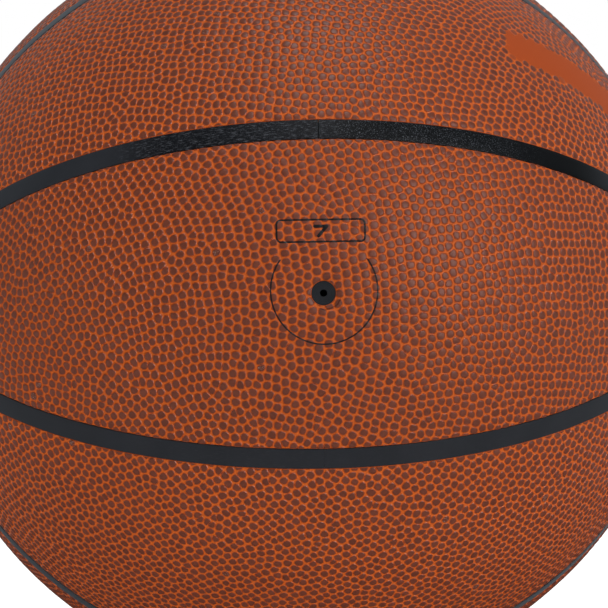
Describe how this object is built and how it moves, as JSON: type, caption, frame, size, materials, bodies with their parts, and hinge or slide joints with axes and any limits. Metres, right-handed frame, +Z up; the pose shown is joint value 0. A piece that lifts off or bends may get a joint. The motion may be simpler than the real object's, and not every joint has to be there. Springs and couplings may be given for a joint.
{
  "type": "basketball",
  "caption": "Inflated basketball of laminated build: pebbled cover panels on sponge pads and a rubber carcass, black seam strips, inner bladder and needle valve.",
  "frame": {"origin": "centre of the ball", "axes": "+Z up, the valve looks along -Y, the seams cross on the +X and -X sides"},
  "size_m": [0.2398, 0.24, 0.24],
  "materials": {
    "cover_leather": "pebbled composite leather, brown pebble tops over orange valleys, matte",
    "seam_rubber": "matte black rubber with a fine grain",
    "valve_rubber": "smooth matte black rubber",
    "pad_sponge": "fine-celled sponge rubber",
    "carcass_rubber": "moulded rubber, matte",
    "winding_thread": "nylon thread set in latex",
    "bladder_butyl": "smooth butyl rubber"
  },
  "bodies": {
    "root": {"bladder": "bladder_butyl", "bladder_patch": "bladder_butyl", "valve_seat": "valve_rubber", "valve_plug": "valve_rubber", "thread_winding": "winding_thread", "rubber_carcass": "carcass_rubber", "ring_strip": "seam_rubber", "loop_strip_high": "seam_rubber", "loop_strip_low": "seam_rubber", "cross_strip_high": "seam_rubber", "cross_strip_low": "seam_rubber", "stub_strip_right_high": "seam_rubber", "stub_strip_right_low": "seam_rubber", "stub_strip_left_high": "seam_rubber", "stub_strip_left_low": "seam_rubber", "pad_front": "pad_sponge", "pad_front_high": "pad_sponge", "pad_top": "pad_sponge", "pad_back_high": "pad_sponge", "pad_back": "pad_sponge", "pad_back_low": "pad_sponge", "pad_bottom": "pad_sponge", "pad_front_low": "pad_sponge", "panel_front": "cover_leather", "panel_front_high": "cover_leather", "panel_top": "cover_leather", "panel_back_high": "cover_leather", "panel_back": "cover_leather", "panel_back_low": "cover_leather", "panel_bottom": "cover_leather", "panel_front_low": "cover_leather"}
  },
  "joints": []
}
